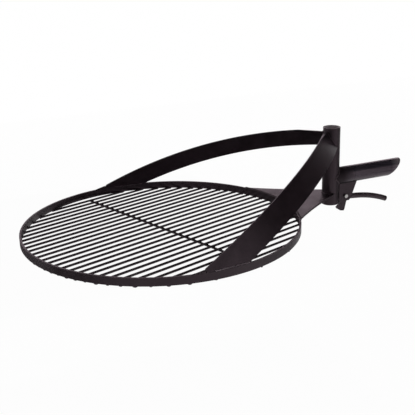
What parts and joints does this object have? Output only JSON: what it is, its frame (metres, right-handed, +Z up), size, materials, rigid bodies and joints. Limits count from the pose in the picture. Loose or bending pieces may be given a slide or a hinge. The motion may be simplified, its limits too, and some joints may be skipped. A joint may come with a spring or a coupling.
{
  "type": "swing-away grill grate for a fire-pit post",
  "caption": "Round rod grate on a pipe sleeve that slides and swivels on an upright post, with two rolled arms, a neck plate, a pipe handle and a squeeze lever whose jaw grips the post.",
  "frame": {"origin": "on the post axis, in the plane of the sleeve's lower end", "axes": "+Z up the post, +X outward along the handle, away from the grate, +Y to the left of someone who stands on the grate side and faces the handle"},
  "size_m": [1.119, 0.726, 0.2523],
  "materials": {
    "black_steel": "black heat-resistant paint, satin",
    "zinc_steel": "bright zinc"
  },
  "bodies": {
    "grate": {"post_sleeve": "black_steel", "handle_tube": "black_steel", "neck_plate": "black_steel", "arm_left": "black_steel", "arm_right": "black_steel", "grate_rim": "black_steel", "grate_bar_01": "black_steel", "grate_bar_02": "black_steel", "grate_bar_03": "black_steel", "grate_bar_04": "black_steel", "grate_bar_05": "black_steel", "grate_bar_06": "black_steel", "grate_bar_07": "black_steel", "grate_bar_08": "black_steel", "grate_bar_09": "black_steel", "grate_bar_10": "black_steel", "grate_bar_11": "black_steel", "grate_bar_12": "black_steel", "grate_bar_13": "black_steel", "grate_bar_14": "black_steel", "grate_bar_15": "black_steel", "grate_bar_16": "black_steel", "grate_bar_17": "black_steel", "grate_bar_18": "black_steel", "grate_bar_19": "black_steel", "grate_bar_20": "black_steel", "grate_bar_21": "black_steel", "grate_bar_22": "black_steel", "grate_bar_23": "black_steel", "grate_bar_24": "black_steel", "grate_bar_25": "black_steel", "grate_bar_26": "black_steel", "grate_bar_27": "black_steel", "grate_bar_28": "black_steel", "cross_rod": "black_steel", "lever_cheek_left": "black_steel", "lever_cheek_right": "black_steel", "stop_pin": "black_steel", "pivot_bolt": "zinc_steel", "washer_head": "black_steel", "washer_nut": "black_steel", "pivot_nut": "zinc_steel"},
    "lever": {"lever_hub": "black_steel", "lever_rod": "black_steel", "jaw_plate": "black_steel"}
  },
  "joints": [
    {"name": "lever_pivot", "type": "hinge", "parent": "grate", "child": "lever", "pos_m": [0.0425, 0, 0.0185], "axis": [0, -1, 0], "range_deg": [0, 23]}
  ]
}
